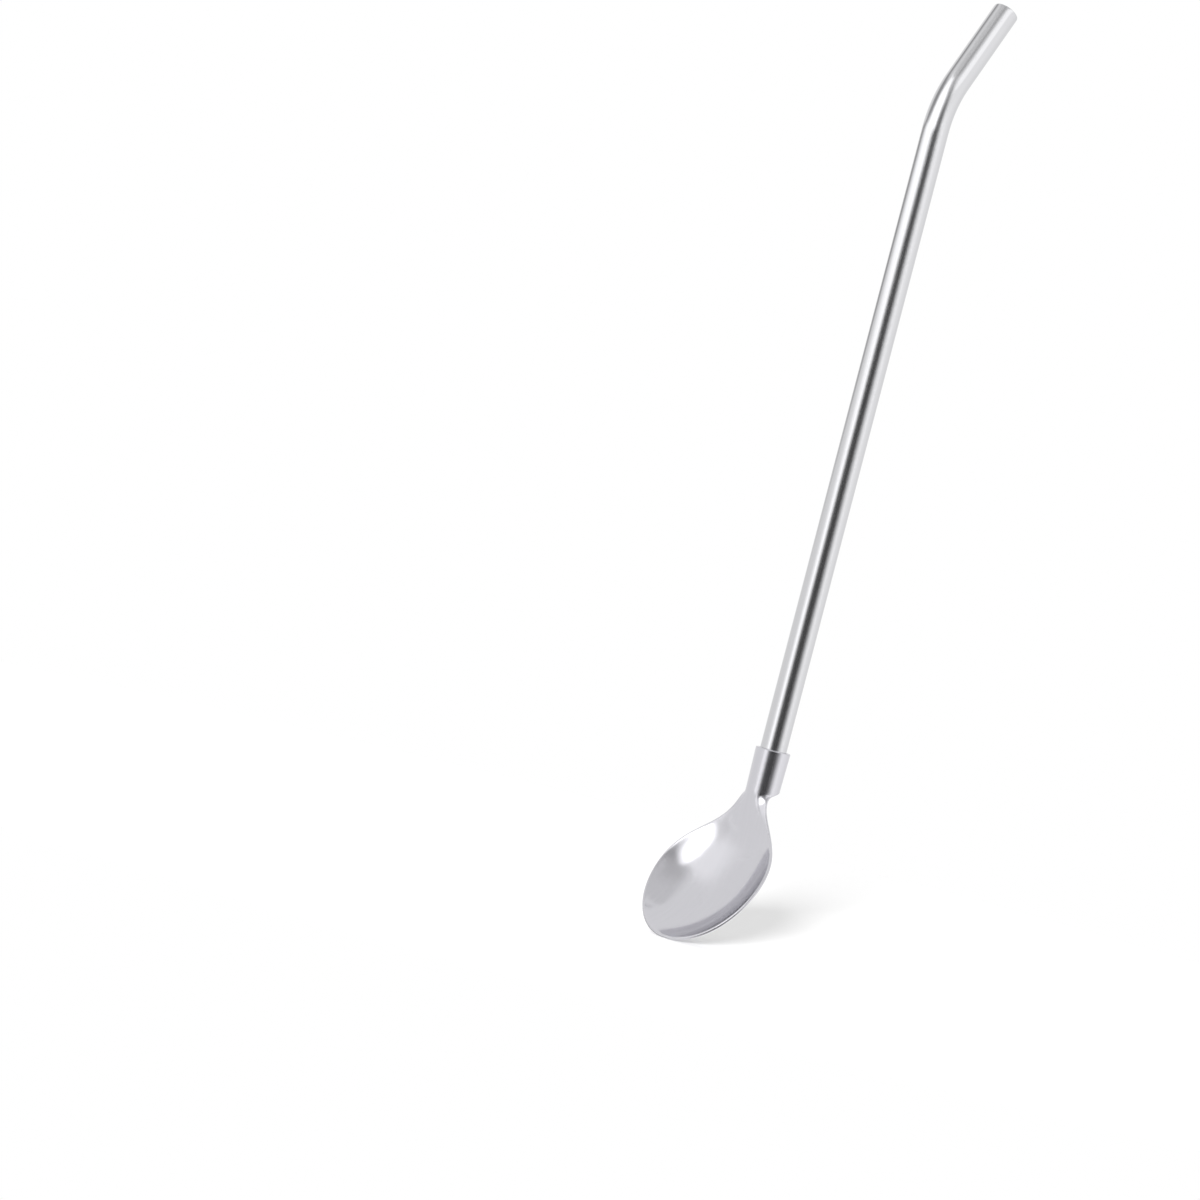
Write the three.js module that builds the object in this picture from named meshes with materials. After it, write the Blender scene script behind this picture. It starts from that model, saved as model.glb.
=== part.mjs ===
// Spoon straw: a bent steel drinking straw with a pressed spoon on its lower end.
// The spoon is one pressed sheet. Its neck is rolled into a socket that grips the straw.
// Millimetres, +Z up along the straw. The spoon's hollow faces -Y and the mouth bends towards +Y.

import * as THREE from "three";

const { clamp, degToRad, lerp, smoothstep } = THREE.MathUtils;

// Straw
const STRAW_DIAMETER = 6;
const STRAW_WALL = 0.5;
const STRAW_STRAIGHT = 148.8;
const BEND_ANGLE = degToRad(30);
const BEND_RADIUS = 23.6;
const MOUTH_LENGTH = 20.7;

// The spoon's sheet
const SPOON_SHEET = 0.7;

// Socket, rolled round the foot of the straw, a little wider at the top.
// Its lower edge slants down to the front, and its long seam is at the back.
const SOCKET_CLEARANCE = 0.05;
const SOCKET_LENGTH = 9.8;
const SOCKET_FLARE = 0.2;
const SOCKET_SLANT = 1.2;
const SOCKET_SEAM = 0.3;
const STRAW_RECESS = 0.4;

// Neck and bowl. Depths run down the straw's axis from the middle of the socket's lower edge.
// The outline is an oval whose upper half the shoulders draw in to the neck.
const NECK_ARCH_FADE = 3;
const SHOULDER_DEPTH = 8.5;
const SHOULDER_SPREAD = 3.35;
const OVAL_WIDTH = 30.4;
const OVAL_CENTRE_DEPTH = 15.7;
const OVAL_POWER = 2.4;
const BOWL_TIP_DEPTH = 35;
const BOWL_TILT = degToRad(31.6);
const TILT_DEPTH = 7.5;
const TILT_EASE = 1.3;
const BOWL_HOLLOW = 6.5;
const BOWL_FLOOR_POWER = 2.4;

// How finely the curved surfaces are divided. The spoon's rows lie closer together near the socket,
// where they follow its slanted edge, and the last row runs round the tip, beyond TIP_ROW of the
// oval's lower half.
const STRAW_SIDES = 36;
const BEND_STEPS = 10;
const SOCKET_SIDE_STEPS = 12;
const SPOON_COLUMNS = 22;
const SPOON_ROWS = 34;
const ROW_GATHER = 1.7;
const EDGE_ROW_FADE = 4;
const TIP_ROW = 0.8;
const SMALL_STEP = 0.001;

const frontHalf = Math.PI / 2;
const socketMiddle = STRAW_DIAMETER / 2 + SOCKET_CLEARANCE + SPOON_SHEET / 2;
const ovalHalfWidth = OVAL_WIDTH / 2;
const ovalHalfLength = BOWL_TIP_DEPTH - OVAL_CENTRE_DEPTH;

// Turns a grid of points on the middle of a sheet into a closed solid of the sheet's thickness.
// A node is { point, normal }, and a cell lists four nodes, anticlockwise round the normal.
function sheetSolid(nodes, cells, thickness) {
  const positions = [];
  for (const side of [0.5, -0.5]) {
    for (const { point, normal } of nodes) {
      positions.push(...point.clone().addScaledVector(normal, side * thickness));
    }
  }

  const far = (node) => node + nodes.length;
  const index = [];
  const edges = new Set();
  for (const [a, b, c, d] of cells) {
    index.push(a, b, c, a, c, d);
    index.push(far(c), far(b), far(a), far(d), far(c), far(a));
    for (const [from, to] of [[a, b], [b, c], [c, d], [d, a]]) {
      edges.add(`${from} ${to}`);
    }
  }
  for (const edge of edges) {
    const [from, to] = edge.split(" ").map(Number);
    if (!edges.has(`${to} ${from}`)) {
      index.push(from, far(from), far(to), from, far(to), to);
    }
  }

  const geometry = new THREE.BufferGeometry();
  geometry.setAttribute("position", new THREE.Float32BufferAttribute(positions, 3));
  geometry.setIndex(index);
  geometry.computeVertexNormals();
  return geometry;
}

// The straw's centre line: its foot, the steps of its bend, and its mouth
function strawStations(foot) {
  const stations = [];
  const add = (y, z, lean) => {
    const centre = new THREE.Vector3(0, y, z);
    const along = new THREE.Vector3(0, Math.sin(lean), Math.cos(lean));
    stations.push({ centre, along });
  };
  const bendStart = foot + STRAW_STRAIGHT;
  add(0, foot, 0);
  for (let step = 0; step <= BEND_STEPS; step++) {
    const lean = (BEND_ANGLE * step) / BEND_STEPS;
    add(BEND_RADIUS * (1 - Math.cos(lean)), bendStart + BEND_RADIUS * Math.sin(lean), lean);
  }
  const { centre, along } = stations.at(-1);
  const mouth = centre.clone().addScaledVector(along, MOUTH_LENGTH);
  add(mouth.y, mouth.z, BEND_ANGLE);
  return stations;
}

function strawGeometry(foot) {
  const stations = strawStations(foot);
  const across = new THREE.Vector3(1, 0, 0);
  const radius = (STRAW_DIAMETER - STRAW_WALL) / 2;
  const nodes = [];
  const cells = [];
  for (const { centre, along } of stations) {
    const back = along.clone().cross(across);
    for (let side = 0; side < STRAW_SIDES; side++) {
      const turn = (2 * Math.PI * side) / STRAW_SIDES;
      const normal = across.clone().multiplyScalar(Math.cos(turn)).addScaledVector(back, Math.sin(turn));
      nodes.push({ point: centre.clone().addScaledVector(normal, radius), normal });
    }
  }
  for (let ring = 0; ring < stations.length - 1; ring++) {
    for (let side = 0; side < STRAW_SIDES; side++) {
      const here = ring * STRAW_SIDES + side;
      const next = ring * STRAW_SIDES + ((side + 1) % STRAW_SIDES);
      cells.push([here, next, next + STRAW_SIDES, here + STRAW_SIDES]);
    }
  }
  return sheetSolid(nodes, cells, STRAW_WALL);
}

// Depth of the socket's lower edge, at an angle round the straw from the front
function edgeDepth(angle) {
  return SOCKET_SLANT * Math.cos(angle);
}

// What is left of the socket's arch: all of it at the socket's edge, and nothing far down in the bowl
function archLeft(depth, across) {
  const edge = edgeDepth(Math.asin(clamp(across / socketMiddle, -1, 1)));
  return Math.exp(-Math.max(0, depth - edge) / NECK_ARCH_FADE);
}

function logistic(value) {
  return 1 / (1 + Math.exp(-value));
}

// How far the outline has opened from the neck to the oval: 0 at the top of the neck, 1 in the bowl
function shoulderOpening(depth) {
  const rise = (at) => logistic((at - SHOULDER_DEPTH) / SHOULDER_SPREAD);
  return (rise(depth) - rise(0)) / (1 - rise(0));
}

// Half the outline's width at a depth. The neck starts as wide as the socket.
function halfWidth(depth) {
  const fromCentre = Math.min(1, Math.abs(depth - OVAL_CENTRE_DEPTH) / ovalHalfLength);
  const oval = ovalHalfWidth * Math.sqrt(1 - fromCentre ** OVAL_POWER);
  return lerp(socketMiddle, oval, shoulderOpening(depth));
}

// Depth of the outline round the tip, at a place across the bowl
function tipDepth(across) {
  const rest = Math.max(0, 1 - (across / ovalHalfWidth) ** 2);
  return OVAL_CENTRE_DEPTH + ovalHalfLength * rest ** (1 / OVAL_POWER);
}

function archCurvature(depth, across) {
  return Math.min(archLeft(depth, across) / socketMiddle, 1 / Math.max(halfWidth(depth), SPOON_SHEET));
}

// The middle of the spoon's sheet at a depth and a place across. It lies in front of the straw and
// leans forward below the tilt's depth. From there the arch and the bowl's hollow take it back.
function spoonPoint(depth, across) {
  const past = (depth - TILT_DEPTH) / TILT_EASE;
  const forward = socketMiddle + Math.tan(BOWL_TILT) * TILT_EASE * Math.log1p(Math.exp(past));
  const lean = Math.atan(Math.tan(BOWL_TILT) * logistic(past));

  const curvature = archCurvature(depth, across);
  const arch = (curvature * across ** 2) / (1 + Math.sqrt(Math.max(0, 1 - (curvature * across) ** 2)));
  const inside = (halfWidth(depth) ** 2 - across ** 2) / ovalHalfWidth ** 2;
  const hollow = BOWL_HOLLOW * (1 - Math.max(0, 1 - inside) ** (BOWL_FLOOR_POWER / 2));
  const back = arch + hollow * (1 - archLeft(depth, across));
  return new THREE.Vector3(across, back * Math.cos(lean) - forward, -depth - back * Math.sin(lean));
}

function spoonNormal(depth, across) {
  const down = spoonPoint(depth + SMALL_STEP, across).sub(spoonPoint(depth - SMALL_STEP, across));
  const sideways = spoonPoint(depth, across + SMALL_STEP).sub(spoonPoint(depth, across - SMALL_STEP));
  return down.cross(sideways).normalize();
}

// A node of the neck or bowl. Row 0 would be the front half of the socket's edge, and the rows bend
// until the last one is the round end of the tip. Place runs from -1 to 1 across.
function spoonNode(row, place) {
  const share = (row / SPOON_ROWS) ** ROW_GATHER;
  const tipSide = OVAL_CENTRE_DEPTH + TIP_ROW * ovalHalfLength;
  const sideDepth = tipSide * share;
  const width = halfWidth(sideDepth);
  const halfAngle = Math.asin(Math.min(1, archCurvature(sideDepth, width) * width));
  const onArc = halfAngle > SMALL_STEP ? Math.sin(halfAngle * place) / Math.sin(halfAngle) : place;
  const tipBow = smoothstep(share, 0, 1) * (tipDepth(halfWidth(tipSide) * place) - tipSide);
  const edgeBow = (1 - share) ** EDGE_ROW_FADE * edgeDepth(frontHalf * place);

  const depth = sideDepth + tipBow + edgeBow;
  const across = width * onArc;
  return { point: spoonPoint(depth, across), normal: spoonNormal(depth, across) };
}

function socketNode(angle, radius, z) {
  const normal = new THREE.Vector3(Math.sin(angle), -Math.cos(angle), 0);
  return { point: normal.clone().multiplyScalar(radius).setZ(z), normal };
}

// Angles of the socket's columns, from one side of the seam round the front to the other
function socketAngles() {
  const seamAngle = Math.PI - SOCKET_SEAM / 2 / socketMiddle;
  const side = (step) => lerp(frontHalf, seamAngle, step / SOCKET_SIDE_STEPS);
  const angles = [];
  for (let step = SOCKET_SIDE_STEPS; step > 0; step--) angles.push(-side(step));
  for (let column = 0; column <= SPOON_COLUMNS; column++) {
    angles.push(lerp(-frontHalf, frontHalf, column / SPOON_COLUMNS));
  }
  for (let step = 1; step <= SOCKET_SIDE_STEPS; step++) angles.push(side(step));
  return angles;
}

// The socket's two rows of nodes come first. The front half of its lower row is also the neck's first.
function spoonGeometry() {
  const angles = socketAngles();
  const nodes = angles.map((angle) => socketNode(angle, socketMiddle + SOCKET_FLARE, SOCKET_LENGTH));
  for (const angle of angles) nodes.push(socketNode(angle, socketMiddle, -edgeDepth(angle)));

  const cells = [];
  const addCells = (upper, lower, count) => {
    for (let column = 0; column < count; column++) {
      cells.push([upper + column, lower + column, lower + column + 1, upper + column + 1]);
    }
  };
  addCells(0, angles.length, angles.length - 1);

  let upper = angles.length + SOCKET_SIDE_STEPS;
  for (let row = 1; row <= SPOON_ROWS; row++) {
    const lower = nodes.length;
    for (let column = 0; column <= SPOON_COLUMNS; column++) {
      nodes.push(spoonNode(row, (2 * column) / SPOON_COLUMNS - 1));
    }
    addCells(upper, lower, SPOON_COLUMNS);
    upper = lower;
  }
  return sheetSolid(nodes, cells, SPOON_SHEET);
}

function steel(color, roughness) {
  return new THREE.MeshStandardMaterial({ color, metalness: 1, roughness });
}

const straw = new THREE.Mesh(strawGeometry(SOCKET_SLANT + STRAW_RECESS), steel(0xc9cacd, 0.12));
straw.name = "straw_tube";

const spoon = new THREE.Mesh(spoonGeometry(), steel(0xc4c4c8, 0.18));
spoon.name = "spoon";

const spoonStraw = new THREE.Group();
spoonStraw.add(straw, spoon);

// The origin is under the middle of the object, level with the tip of the spoon
const bounds = new THREE.Box3().setFromObject(spoonStraw);
const centre = bounds.getCenter(new THREE.Vector3());
spoonStraw.position.set(-centre.x, -centre.y, -bounds.min.z);

export default spoonStraw;
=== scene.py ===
import math

import bmesh
import bpy
from mathutils import Matrix, Vector


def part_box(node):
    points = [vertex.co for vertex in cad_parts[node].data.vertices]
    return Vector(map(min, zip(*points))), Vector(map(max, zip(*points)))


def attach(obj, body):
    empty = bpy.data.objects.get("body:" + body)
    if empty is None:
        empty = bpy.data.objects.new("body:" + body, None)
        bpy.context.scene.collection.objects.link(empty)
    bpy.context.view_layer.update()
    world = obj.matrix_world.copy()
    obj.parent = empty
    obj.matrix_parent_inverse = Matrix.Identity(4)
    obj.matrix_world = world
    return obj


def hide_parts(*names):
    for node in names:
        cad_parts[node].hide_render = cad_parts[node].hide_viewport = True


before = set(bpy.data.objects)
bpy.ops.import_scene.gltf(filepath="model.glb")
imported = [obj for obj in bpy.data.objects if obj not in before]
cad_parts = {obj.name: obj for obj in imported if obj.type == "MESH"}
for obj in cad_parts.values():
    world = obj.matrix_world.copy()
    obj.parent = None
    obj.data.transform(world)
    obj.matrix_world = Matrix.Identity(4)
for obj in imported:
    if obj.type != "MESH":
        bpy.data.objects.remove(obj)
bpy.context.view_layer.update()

# Spoon straw: a bent steel drinking straw with a pressed spoon rolled round its foot.
# The object's sizes and the lens are in millimetres. The other distances of camera, studio, lamp and floor
# are in metres, and their angles in degrees.

MM = 0.001

# Straw
STRAW_DIAMETER = 6
STRAW_WALL = 0.5
STRAW_STRAIGHT = 148.8
BEND_ANGLE = math.radians(30)
BEND_RADIUS = 23.6
MOUTH_LENGTH = 20.7

# The spoon's sheet, and how far its edges are rounded
SPOON_SHEET = 0.7
EDGE_ROUND = 0.3

# Socket round the foot of the straw
SOCKET_CLEARANCE = 0.05
SOCKET_LENGTH = 9.8
SOCKET_FLARE = 0.2
SOCKET_SLANT = 1.2
SOCKET_SEAM = 0.3
STRAW_RECESS = 0.4

# Neck and bowl, in depths down from the middle of the socket's lower edge
NECK_ARCH_FADE = 3
NECK_ARCH_START = 0.4
NECK_ARCH_EDGE = 0.2
SHOULDER_DEPTH = 8.5
SHOULDER_SPREAD = 3.35
OVAL_WIDTH = 30.4
OVAL_CENTRE_DEPTH = 15.7
OVAL_POWER = 2.4
BOWL_TIP_DEPTH = 35
BOWL_TILT = math.radians(31.6)
TILT_DEPTH = 7.5
TILT_EASE = 1.3
BOWL_HOLLOW = 6.5
BOWL_FLOOR_POWER = 2.4

# How finely the meshes are divided, and the levels of their subdivision surfaces
STRAW_SIDES = 64
STRAW_STEP = 2.5
BEND_STEPS = 12
SOCKET_SIDE_STEPS = 12
SOCKET_ROWS = 14
SPOON_COLUMNS = 22
SPOON_ROWS = 34
ROW_GATHER = 1.7
EDGE_ROW_FADE = 4
TIP_ROW = 0.8
EDGE_STEPS = 6
STRAW_SUBDIVISION = 1
SPOON_SUBDIVISION = 2

# The step for slopes, which is also the least angle that counts, and the digits that tell angles apart
SMALL_STEP = 0.001
ANGLE_DIGITS = 4

FRONT_HALF = math.pi / 2
SOCKET_MIDDLE = STRAW_DIAMETER / 2 + SOCKET_CLEARANCE + SPOON_SHEET / 2
OVAL_HALF_WIDTH = OVAL_WIDTH / 2
OVAL_HALF_LENGTH = BOWL_TIP_DEPTH - OVAL_CENTRE_DEPTH
STRAW_FOOT = SOCKET_SLANT + STRAW_RECESS

# Where the straw's axis and the zero of the depths are in the part's frame
straw_low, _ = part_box("straw_tube")
AXIS = Vector((0, straw_low[1] + STRAW_DIAMETER / 2 * MM, straw_low[2] - STRAW_FOOT * MM))


def lerp(a, b, share):
    return a + (b - a) * share


def logistic(value):
    return 1 / (1 + math.exp(-value))


def eased(share):
    return share ** 2 * (3 - 2 * share)


# Camera: the photograph's viewing angle. The picture is rolled, so the upright straw leans right in it.
CAMERA_AZIMUTH = 39
CAMERA_ELEVATION = 0.5
CAMERA_DISTANCE = 1.5
CAMERA_YAW = -1.729
CAMERA_PITCH = -1.4
CAMERA_ROLL = -14.615
CAMERA_LENS = 204.43
CAMERA_REACH = 50
AIM_HEIGHT = 0.06874


def studio_ray(azimuth, elevation):
    """The way to a place round the object, with the azimuth from the camera's side."""
    azimuth, elevation = math.radians(CAMERA_AZIMUTH + azimuth), math.radians(elevation)
    return Vector((
        math.sin(azimuth) * math.cos(elevation),
        -math.cos(azimuth) * math.cos(elevation),
        math.sin(elevation),
    ))


def add_camera():
    back = studio_ray(0, CAMERA_ELEVATION)
    right = (-back).cross(Vector((0, 0, 1))).normalized()
    up = right.cross(-back)
    ahead = right * math.tan(math.radians(CAMERA_YAW)) + up * math.tan(math.radians(CAMERA_PITCH)) - back
    ahead.normalize()
    right = ahead.cross(up).normalized()
    turn = Matrix((right, right.cross(ahead), -ahead)).transposed()
    roll = Matrix.Rotation(-math.radians(CAMERA_ROLL), 3, "Z")

    camera = bpy.data.objects.new("camera", bpy.data.cameras.new("camera"))
    camera.data.lens = CAMERA_LENS
    camera.data.clip_end = CAMERA_REACH
    place = AXIS + Vector((0, 0, AIM_HEIGHT)) + back * CAMERA_DISTANCE
    camera.matrix_world = Matrix.Translation(place) @ (turn @ roll).to_4x4()
    bpy.context.collection.objects.link(camera)
    bpy.context.scene.camera = camera


# Meshes

def sheet_object(name, nodes, cells, thickness, edge_round, levels):
    """A sheet of metal with rounded edges, from the nodes on its middle: (point, normal, along, around)."""
    outward = {}
    sides = {(cell[k], cell[(k + 1) % 4]) for cell in cells for k in range(4)}
    rim = [(a, b) for a, b in sides if (b, a) not in sides]
    for a, b in rim:
        direction = (nodes[b][0] - nodes[a][0]).normalized()
        for node in (a, b):
            outward[node] = outward.get(node, Vector()) + direction.cross(nodes[node][1])

    mesh = bpy.data.meshes.new(name)
    bm = bmesh.new()
    layer = bm.loops.layers.uv.new("along_around")
    place = {}

    def vertex(node, angle):
        """A vertex on the sheet's section at a node: 0 is the front face and pi the back."""
        key = (node, round(angle, ANGLE_DIGITS))
        if key not in place:
            point, normal = nodes[node][:2]
            spot = point + normal * (thickness / 2 * math.cos(angle))
            if node in outward:
                spot += outward[node].normalized() * (edge_round * (math.sin(angle) - 1))
            place[key] = bm.verts.new(AXIS + spot * MM)
        return place[key]

    def face(corners):
        made = bm.faces.new([vertex(node, angle) for node, angle in corners])
        made.smooth = True
        for loop, (node, _) in zip(made.loops, corners):
            loop[layer].uv = nodes[node][2:]

    for cell in cells:
        face([(node, 0) for node in cell])
        face([(node, math.pi) for node in reversed(cell)])
    for a, b in rim:
        for step in range(EDGE_STEPS):
            near, far = math.pi * step / EDGE_STEPS, math.pi * (step + 1) / EDGE_STEPS
            face([(a, near), (a, far), (b, far), (b, near)])
    bm.to_mesh(mesh)
    bm.free()

    piece = bpy.data.objects.new(name, mesh)
    bpy.context.collection.objects.link(piece)
    smooth = piece.modifiers.new("smooth", "SUBSURF")
    smooth.levels = levels
    smooth.render_levels = levels
    smooth.boundary_smooth = "PRESERVE_CORNERS"
    return piece


# Straw

def straw_stations():
    """The centre line in steps: (y, z, lean, distance along)."""
    stations = []
    count = math.ceil(STRAW_STRAIGHT / STRAW_STEP)
    for step in range(count):
        along = STRAW_STRAIGHT * step / count
        stations.append((0, STRAW_FOOT + along, 0, along))
    bend_start = STRAW_FOOT + STRAW_STRAIGHT
    for step in range(BEND_STEPS + 1):
        lean = BEND_ANGLE * step / BEND_STEPS
        y = BEND_RADIUS * (1 - math.cos(lean))
        z = bend_start + BEND_RADIUS * math.sin(lean)
        stations.append((y, z, lean, STRAW_STRAIGHT + BEND_RADIUS * lean))
    y, z, lean, along = stations[-1]
    count = math.ceil(MOUTH_LENGTH / STRAW_STEP)
    for step in range(1, count + 1):
        reach = MOUTH_LENGTH * step / count
        stations.append((y + reach * math.sin(lean), z + reach * math.cos(lean), lean, along + reach))
    return stations


def build_straw():
    radius = (STRAW_DIAMETER - STRAW_WALL) / 2
    stations = straw_stations()
    nodes = []
    for y, z, lean, along in stations:
        for side in range(STRAW_SIDES):
            turn = 2 * math.pi * side / STRAW_SIDES
            sideways, ahead = math.cos(turn), math.sin(turn)
            normal = Vector((sideways, ahead * math.cos(lean), -ahead * math.sin(lean)))
            nodes.append((Vector((0, y, z)) + normal * radius, normal, along, radius * turn))
    cells = []
    for ring in range(len(stations) - 1):
        for side in range(STRAW_SIDES):
            here = ring * STRAW_SIDES + side
            after = ring * STRAW_SIDES + (side + 1) % STRAW_SIDES
            cells.append((here, after, after + STRAW_SIDES, here + STRAW_SIDES))
    return sheet_object("straw", nodes, cells, STRAW_WALL, STRAW_WALL / 2, STRAW_SUBDIVISION)


# Spoon: the solid's surface, apart from where the neck's arch starts

def edge_depth(angle):
    return SOCKET_SLANT * math.cos(angle)


def arch_left(depth, across):
    """What is left of the socket's arch. It starts to fade softly, up to 1 mm higher than in the solid."""
    edge = NECK_ARCH_EDGE * edge_depth(math.asin(max(-1, min(1, across / SOCKET_MIDDLE))))
    below = math.hypot(max(0, depth - edge), NECK_ARCH_START) - NECK_ARCH_START
    return math.exp(-below / NECK_ARCH_FADE)


def shoulder_opening(depth):
    rise = logistic((depth - SHOULDER_DEPTH) / SHOULDER_SPREAD)
    start = logistic(-SHOULDER_DEPTH / SHOULDER_SPREAD)
    return (rise - start) / (1 - start)


def half_width(depth):
    from_centre = min(1, abs(depth - OVAL_CENTRE_DEPTH) / OVAL_HALF_LENGTH)
    oval = OVAL_HALF_WIDTH * math.sqrt(1 - from_centre ** OVAL_POWER)
    return lerp(SOCKET_MIDDLE, oval, shoulder_opening(depth))


def tip_depth(across):
    rest = max(0, 1 - (across / OVAL_HALF_WIDTH) ** 2)
    return OVAL_CENTRE_DEPTH + OVAL_HALF_LENGTH * rest ** (1 / OVAL_POWER)


def arch_curvature(depth, across):
    return min(arch_left(depth, across) / SOCKET_MIDDLE, 1 / max(half_width(depth), SPOON_SHEET))


def spoon_point(depth, across):
    past = (depth - TILT_DEPTH) / TILT_EASE
    forward = SOCKET_MIDDLE + math.tan(BOWL_TILT) * TILT_EASE * math.log1p(math.exp(past))
    lean = math.atan(math.tan(BOWL_TILT) * logistic(past))

    curvature = arch_curvature(depth, across)
    arch = curvature * across ** 2 / (1 + math.sqrt(max(0, 1 - (curvature * across) ** 2)))
    inside = (half_width(depth) ** 2 - across ** 2) / OVAL_HALF_WIDTH ** 2
    hollow = BOWL_HOLLOW * (1 - max(0, 1 - inside) ** (BOWL_FLOOR_POWER / 2))
    back = arch + hollow * (1 - arch_left(depth, across))
    return Vector((across, back * math.cos(lean) - forward, -depth - back * math.sin(lean)))


def spoon_normal(depth, across):
    down = spoon_point(depth + SMALL_STEP, across) - spoon_point(depth - SMALL_STEP, across)
    sideways = spoon_point(depth, across + SMALL_STEP) - spoon_point(depth, across - SMALL_STEP)
    return down.cross(sideways).normalized()


def spoon_node(row, place):
    share = (row / SPOON_ROWS) ** ROW_GATHER
    tip_side = OVAL_CENTRE_DEPTH + TIP_ROW * OVAL_HALF_LENGTH
    side_depth = tip_side * share
    width = half_width(side_depth)
    half_angle = math.asin(min(1, arch_curvature(side_depth, width) * width))
    on_arc = math.sin(half_angle * place) / math.sin(half_angle) if half_angle > SMALL_STEP else place
    tip_bow = eased(share) * (tip_depth(half_width(tip_side) * place) - tip_side)
    edge_bow = (1 - share) ** EDGE_ROW_FADE * edge_depth(FRONT_HALF * place)

    depth = side_depth + tip_bow + edge_bow
    across = width * on_arc
    return (spoon_point(depth, across), spoon_normal(depth, across), -depth, across)


def socket_node(angle, share):
    """A node of the socket: share 0 is on its lower edge and 1 on its top edge."""
    radius = SOCKET_MIDDLE + SOCKET_FLARE * share
    normal = Vector((math.sin(angle), -math.cos(angle), 0))
    z = lerp(-edge_depth(angle), SOCKET_LENGTH, share)
    if z < 0 and abs(angle) < FRONT_HALF:
        across = SOCKET_MIDDLE * math.sin(angle)
        normal = spoon_normal(-z, across)
        return (spoon_point(-z, across) + normal * (radius - SOCKET_MIDDLE), normal, z, radius * angle)
    return (normal * radius + Vector((0, 0, z)), normal, z, radius * angle)


def socket_angles():
    seam_angle = math.pi - SOCKET_SEAM / 2 / SOCKET_MIDDLE
    side_shares = [step / SOCKET_SIDE_STEPS for step in range(1, SOCKET_SIDE_STEPS + 1)]
    front_shares = [column / SPOON_COLUMNS for column in range(SPOON_COLUMNS + 1)]
    side = [lerp(FRONT_HALF, seam_angle, share) for share in side_shares]
    front = [lerp(-FRONT_HALF, FRONT_HALF, share) for share in front_shares]
    return [-angle for angle in reversed(side)] + front + side


def build_spoon():
    angles = socket_angles()
    nodes = []
    cells = []

    def add_cells(upper, lower, count):
        for column in range(count):
            cells.append((upper + column, lower + column, lower + column + 1, upper + column + 1))

    for row in range(SOCKET_ROWS + 1):
        share = (1 + math.cos(math.pi * row / SOCKET_ROWS)) / 2
        nodes += [socket_node(angle, share) for angle in angles]
        if row:
            add_cells((row - 1) * len(angles), row * len(angles), len(angles) - 1)

    upper = SOCKET_ROWS * len(angles) + SOCKET_SIDE_STEPS
    for row in range(1, SPOON_ROWS + 1):
        lower = len(nodes)
        nodes += [spoon_node(row, 2 * column / SPOON_COLUMNS - 1) for column in range(SPOON_COLUMNS + 1)]
        add_cells(upper, lower, SPOON_COLUMNS)
        upper = lower
    return sheet_object("spoon_and_socket", nodes, cells, SPOON_SHEET, EDGE_ROUND, SPOON_SUBDIVISION)


# Materials: marks are counted per millimetre along and around the metal
STRAW_COLOR = (0.6, 0.6, 0.615)
STRAW_ROUGHNESS = 0.13
STRAW_MARKS = (0.05, 6, 1)
STRAW_MARKS_DEPTH = 0.0016
SPOON_COLOR = (0.594, 0.589, 0.622)
SPOON_ROUGHNESS = 0.14
SPOON_MARKS = (0.12, 2.5, 1)
SPOON_MARKS_DEPTH = 0.001
MARKS_DETAIL = 4
TINT_SPREAD = 0.04
GLOSS_SPREAD = 0.25
FLOOR_COLOR = (0.98, 0.98, 0.98)


def steel_material(name, color, roughness, marks, marks_depth):
    """Polished stainless steel with fine marks along the metal."""
    material = bpy.data.materials.new(name)
    material.use_nodes = True
    nodes, links = material.node_tree.nodes, material.node_tree.links
    shader = nodes["Principled BSDF"]
    shader.inputs["Metallic"].default_value = 1
    place = nodes.new("ShaderNodeUVMap")
    place.uv_map = "along_around"

    stretch = nodes.new("ShaderNodeMapping")
    stretch.inputs["Scale"].default_value = marks
    links.new(place.outputs["UV"], stretch.inputs["Vector"])
    streaks = nodes.new("ShaderNodeTexNoise")
    streaks.inputs["Scale"].default_value = 1
    streaks.inputs["Detail"].default_value = MARKS_DETAIL
    links.new(stretch.outputs["Vector"], streaks.inputs["Vector"])

    tint = nodes.new("ShaderNodeMixRGB")
    tint.inputs["Color1"].default_value = (*[c * (1 - TINT_SPREAD) for c in color], 1)
    tint.inputs["Color2"].default_value = (*[c * (1 + TINT_SPREAD) for c in color], 1)
    links.new(streaks.outputs["Fac"], tint.inputs["Fac"])
    links.new(tint.outputs["Color"], shader.inputs["Base Color"])

    gloss = nodes.new("ShaderNodeMapRange")
    links.new(streaks.outputs["Fac"], gloss.inputs["Value"])
    gloss.inputs["To Min"].default_value = roughness * (1 - GLOSS_SPREAD)
    gloss.inputs["To Max"].default_value = roughness * (1 + GLOSS_SPREAD)
    links.new(gloss.outputs["Result"], shader.inputs["Roughness"])

    bump = nodes.new("ShaderNodeBump")
    bump.inputs["Distance"].default_value = marks_depth * MM
    links.new(streaks.outputs["Fac"], bump.inputs["Height"])
    links.new(bump.outputs["Normal"], shader.inputs["Normal"])
    return material


def matt_material(name, color):
    material = bpy.data.materials.new(name)
    material.use_nodes = True
    shader = material.node_tree.nodes["Principled BSDF"]
    shader.inputs["Base Color"].default_value = (*color, 1)
    shader.inputs["Roughness"].default_value = 1
    shader.inputs["Specular IOR Level"].default_value = 0
    return material


# Studio: a white room with panels and cards on a large sphere round the object
STUDIO_RADIUS = 7
PANEL_COLUMNS = 48
PANEL_STEP = 1.5

# These cards stand nearer than the panels, so they cover what is behind them
DARK_CARD_RADIUS = STUDIO_RADIUS * 0.95
CARD_RADIUS = STUDIO_RADIUS * 0.93
SHADE_RADIUS = STUDIO_RADIUS * 0.9

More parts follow.
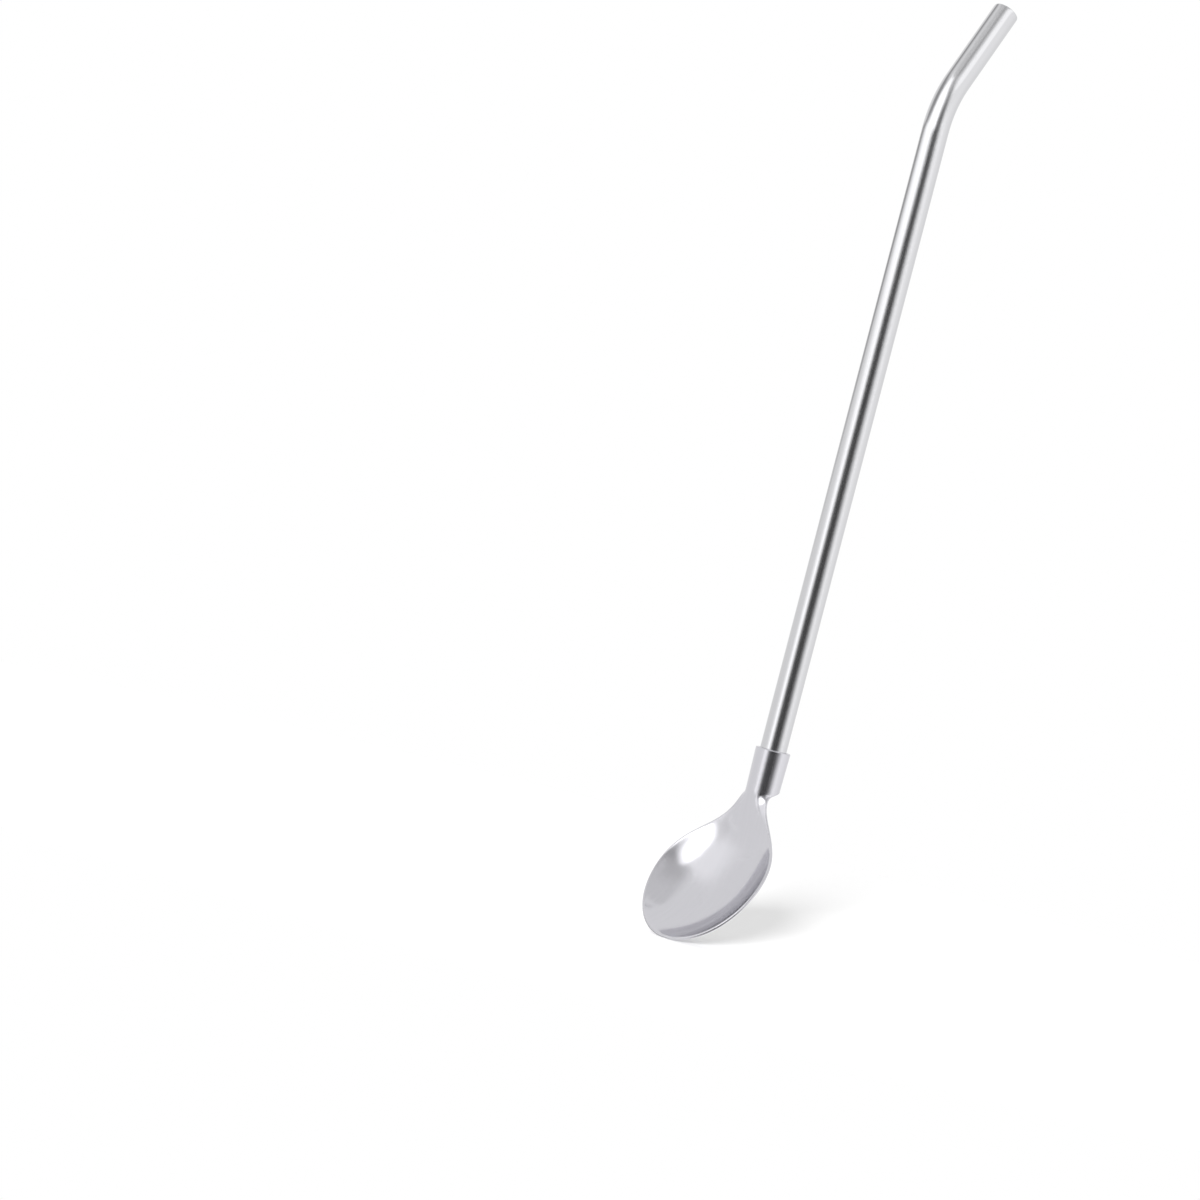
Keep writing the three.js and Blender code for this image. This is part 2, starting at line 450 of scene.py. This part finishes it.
# The room's light on the floor, beside 1 where the room is seen or mirrored
ROOM_LIGHT = 0.8


def soft_edge(inside, width):
    """How much a panel covers at a distance inside its edge."""
    return eased(max(0, min(1, inside / width))) if width else 1


def panel_rows(outline):
    """The outline's rows (elevation, left azimuth, right azimuth), with more of them between."""
    rows = [outline[0]]
    for low, high in zip(outline, outline[1:]):
        count = math.ceil((high[0] - low[0]) / PANEL_STEP)
        rows += [tuple(lerp(a, b, step / count) for a, b in zip(low, high)) for step in range(1, count + 1)]
    return rows


def panel_mesh(name, outline, soft, distance):
    """The panel as a piece of the sphere, with its cover in the vertices."""
    soft_left, soft_right, soft_bottom, soft_top = soft
    mesh = bpy.data.meshes.new(name)
    bm = bmesh.new()
    layer = bm.verts.layers.float.new("cover")
    rows = panel_rows(outline)
    bottom, top = rows[0][0], rows[-1][0]
    grid = []
    for elevation, left, right in rows:
        line = []
        for column in range(PANEL_COLUMNS + 1):
            azimuth = lerp(left, right, column / PANEL_COLUMNS)
            vertex = bm.verts.new(AXIS + studio_ray(azimuth, elevation) * distance)
            sides = soft_edge(azimuth - left, soft_left) * soft_edge(right - azimuth, soft_right)
            ends = soft_edge(elevation - bottom, soft_bottom) * soft_edge(top - elevation, soft_top)
            vertex[layer] = sides * ends
            line.append(vertex)
        grid.append(line)
    for low, high in zip(grid, grid[1:]):
        for column in range(PANEL_COLUMNS):
            bm.faces.new((low[column], low[column + 1], high[column + 1], high[column]))
    bm.to_mesh(mesh)
    bm.free()
    return mesh


def panel_material(name, passes, adds):
    """Clear where the cover is 0. Where it is 1, a share of the light passes and the panel adds its own."""
    material = bpy.data.materials.new(name)
    material.use_nodes = True
    nodes, links = material.node_tree.nodes, material.node_tree.links
    nodes.clear()
    cover = nodes.new("ShaderNodeAttribute")
    cover.attribute_name = "cover"
    veil = nodes.new("ShaderNodeBsdfTransparent")
    veil.inputs["Color"].default_value = (passes, passes, passes, 1)
    light = nodes.new("ShaderNodeEmission")
    light.inputs["Color"].default_value = (1, 1, 1, 1)
    light.inputs["Strength"].default_value = adds
    both = nodes.new("ShaderNodeAddShader")
    links.new(veil.outputs["BSDF"], both.inputs[0])
    links.new(light.outputs["Emission"], both.inputs[1])
    clear = nodes.new("ShaderNodeBsdfTransparent")
    clear.inputs["Color"].default_value = (1, 1, 1, 1)
    mix = nodes.new("ShaderNodeMixShader")
    links.new(cover.outputs["Fac"], mix.inputs["Fac"])
    links.new(clear.outputs["BSDF"], mix.inputs[1])
    links.new(both.outputs["Shader"], mix.inputs[2])
    out = nodes.new("ShaderNodeOutputMaterial")
    links.new(mix.outputs["Shader"], out.inputs["Surface"])
    return material


def panel(name, outline, soft, passes=1, adds=0, distance=STUDIO_RADIUS, receivers=None):
    """A panel that the camera doesn't see, soft over (left, right, bottom, top) degrees."""
    mesh = panel_mesh(name, outline, soft, distance)
    mesh.materials.append(panel_material(name, passes, adds))
    made = bpy.data.objects.new(name, mesh)
    bpy.context.collection.objects.link(made)
    made.visible_camera = False
    if receivers:
        made.light_linking.receiver_collection = receivers


def lit_alone(name, piece):
    """A collection of one piece, for panels and lamps whose light reaches that piece alone."""
    receivers = bpy.data.collections.new(name)
    receivers.objects.link(piece)
    return receivers


def add_room():
    """White where it is seen and mirrored, with less light on the floor."""
    world = bpy.data.worlds.new("white_room")
    world.use_nodes = True
    nodes, links = world.node_tree.nodes, world.node_tree.links
    nodes["Background"].inputs["Color"].default_value = (1, 1, 1, 1)
    path = nodes.new("ShaderNodeLightPath")
    seen = nodes.new("ShaderNodeMath")
    seen.operation = "MAXIMUM"
    links.new(path.outputs["Is Camera Ray"], seen.inputs[0])
    links.new(path.outputs["Is Glossy Ray"], seen.inputs[1])
    seen_or_through = nodes.new("ShaderNodeMath")
    seen_or_through.operation = "MAXIMUM"
    links.new(seen.outputs["Value"], seen_or_through.inputs[0])
    links.new(path.outputs["Is Transmission Ray"], seen_or_through.inputs[1])
    strength = nodes.new("ShaderNodeMapRange")
    strength.inputs["To Min"].default_value = ROOM_LIGHT
    strength.inputs["To Max"].default_value = 1
    links.new(seen_or_through.outputs["Value"], strength.inputs["Value"])
    links.new(strength.outputs["Result"], nodes["Background"].inputs["Strength"])
    bpy.context.scene.world = world


def add_panels(straw, spoon):
    """Straw and bowl mirror different things in one direction of the photo, so some panels light one alone.

    A panel takes light from both pieces, but adds its own only to those that it is linked to. So a card
    whose shares passed and added make 1 darkens only the piece that it isn't linked to.
    """
    for_straw = lit_alone("lit_straw", straw)
    for_spoon = lit_alone("lit_spoon", spoon)

    glow = ((0, -96, -2), (34, -96, -2), (42, -96, -24), (56, -96, -38))
    panel("glow", glow, (46, 8, 6, 18), adds=0.23)
    side_panel = ((-45, 22, 150), (28, 15, 150))
    panel("side_panel", side_panel, (6, 70, 0, 4), adds=0.2)
    bright_edge = ((-45, 22, 90), (3, 20, 90), (17, 16, 84))
    panel("bright_edge", bright_edge, (6, 30, 0, 15), adds=0.17)
    upper_side = ((24, 16, 150), (35, 12, 150), (44, 0, 150), (53, -10, 150))
    panel("upper_side", upper_side, (10, 100, 6, 6), adds=0.5, receivers=for_straw)

    bowl_box = (
        (2.2, -47, -40), (4, -45, -36), (5.5, -43, -31), (7, -41.5, -24), (8.5, -40, -15),
        (10.5, -38.5, -9), (14, -36, -6.5), (17, -33.5, -4.5), (21, -31.5, -1), (24, -30, 2),
        (30, -24.5, 5), (36, -17.5, 4), (41.5, -11, 0),
    )
    panel("bowl_softbox", bowl_box, (1.5, 9, 1.5, 1.5), adds=1.25, receivers=for_spoon)
    straw_box = (
        (-45, -72, -2), (0.5, -72, -2), (1.2, -78, -2), (1.9, -94, -2), (3.3, -108, -2),
        (4.5, -106, -4), (7, -98, -4), (10, -86, -4), (17, -82, -4), (26, -82, -5),
        (33, -82, -8), (40, -82, -15), (46, -82, -22), (53, -86, -29),
    )
    panel("straw_softbox", straw_box, (24, 12, 0, 1.5), adds=0.62, receivers=for_straw)
    socket_box = ((-6.4, -74, 0), (-3.2, -74, 0))
    panel("socket_softbox", socket_box, (24, 12, 0.5, 0.5), adds=0.8, receivers=for_spoon)

    flag = (
        (-45, -44, 84), (-5, -44, 82), (-2.3, -44, 77), (0.5, -43, 68), (1.8, -44, 62),
        (3.3, -45, 57), (4.2, -40, 54), (5.8, -26, 50),
    )
    panel("flag", flag, (32, 56, 0, 1.2), passes=0.09, distance=CARD_RADIUS)
    dark_card = (
        (3.9, -34, 52), (5.8, -19, 48), (16, -16, 46), (24, -12, 43), (30, -15, 38),
        (36, -22, 35), (42, -28, 33), (48, -33, 32), (56, -38, 34), (70, -42, 40),
    )
    panel("dark_card", dark_card, (28, 28, 1.5, 57), passes=0.27, distance=DARK_CARD_RADIUS)
    shade = ((38, -36, 66), (90, -45, 80))
    panel("shade", shade, (30, 30, 16, 4), passes=0.83, distance=SHADE_RADIUS)

    left_card = (
        (-0.6, -170, -108), (3.5, -160, -102), (7, -130, -86), (16, -130, -70),
        (26, -136, -68), (33, -156, -72), (48, -156, -72),
    )
    panel("left_card", left_card, (26, 24, 2.5, 14), 0.43, 0.57, CARD_RADIUS, for_spoon)
    edge_card = ((-8, -72, -57), (-3, -66, -52), (0, -61, -48.5), (3, -57, -45), (7, -52, -42))
    panel("edge_card", edge_card, (6, 2, 2, 2), 0.87, 0.13, CARD_RADIUS, for_straw)
    upper_card = ((52, -110, 6), (78, -110, 6))
    panel("upper_card", upper_card, (10, 10, 1.5, 12), 0.8, 0.2, CARD_RADIUS, for_spoon)
    back_card = ((-65, 192, 244), (-8, 192, 244))
    panel("back_card", back_card, (22, 8, 20, 6), passes=0.25)


# The lamp on the camera's side of the object, and the floor under it that takes the shadow
KEY_AZIMUTH = -5
KEY_ELEVATION = 8.5
KEY_DISTANCE = 5
KEY_SIZE = 0.55
KEY_POWER = 690


def add_key_lamp(floor):
    """The lamp that casts the soft shadow behind the bowl. It lights the floor alone."""
    light = bpy.data.lights.new("key", "AREA")
    light.shape = "DISK"
    light.size = KEY_SIZE
    light.energy = KEY_POWER
    ray = studio_ray(KEY_AZIMUTH, KEY_ELEVATION)
    lamp = bpy.data.objects.new("key", light)
    lamp.location = ray * KEY_DISTANCE
    lamp.rotation_euler = ray.to_track_quat("Z", "Y").to_euler()
    lamp.light_linking.receiver_collection = lit_alone("lit_floor", floor)
    bpy.context.collection.objects.link(lamp)


FLOOR_RADIUS = 0.3
FLOOR_SETBACK = 0.1
FLOOR_SIDES = 96


def add_floor():
    """The white floor keeps the shadow. The steel mirrors the white room in its place."""
    mesh = bpy.data.meshes.new("floor")
    bm = bmesh.new()
    centre = Matrix.Translation(studio_ray(0, 0) * -FLOOR_SETBACK)
    bmesh.ops.create_circle(bm, cap_ends=True, segments=FLOOR_SIDES, radius=FLOOR_RADIUS, matrix=centre)
    bm.to_mesh(mesh)
    bm.free()
    floor = bpy.data.objects.new("floor", mesh)
    floor.visible_glossy = False
    bpy.context.collection.objects.link(floor)
    mesh.materials.append(matt_material("floor_white", FLOOR_COLOR))
    return floor


add_camera()

straw = build_straw()
straw.data.materials.append(
    steel_material("straw_steel", STRAW_COLOR, STRAW_ROUGHNESS, STRAW_MARKS, STRAW_MARKS_DEPTH))
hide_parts("straw_tube")
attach(straw, "root")

spoon = build_spoon()
spoon.data.materials.append(
    steel_material("spoon_steel", SPOON_COLOR, SPOON_ROUGHNESS, SPOON_MARKS, SPOON_MARKS_DEPTH))
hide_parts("spoon")
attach(spoon, "root")

add_room()
add_panels(straw, spoon)
add_key_lamp(add_floor())

scene = bpy.context.scene
scene.view_settings.view_transform = "Standard"
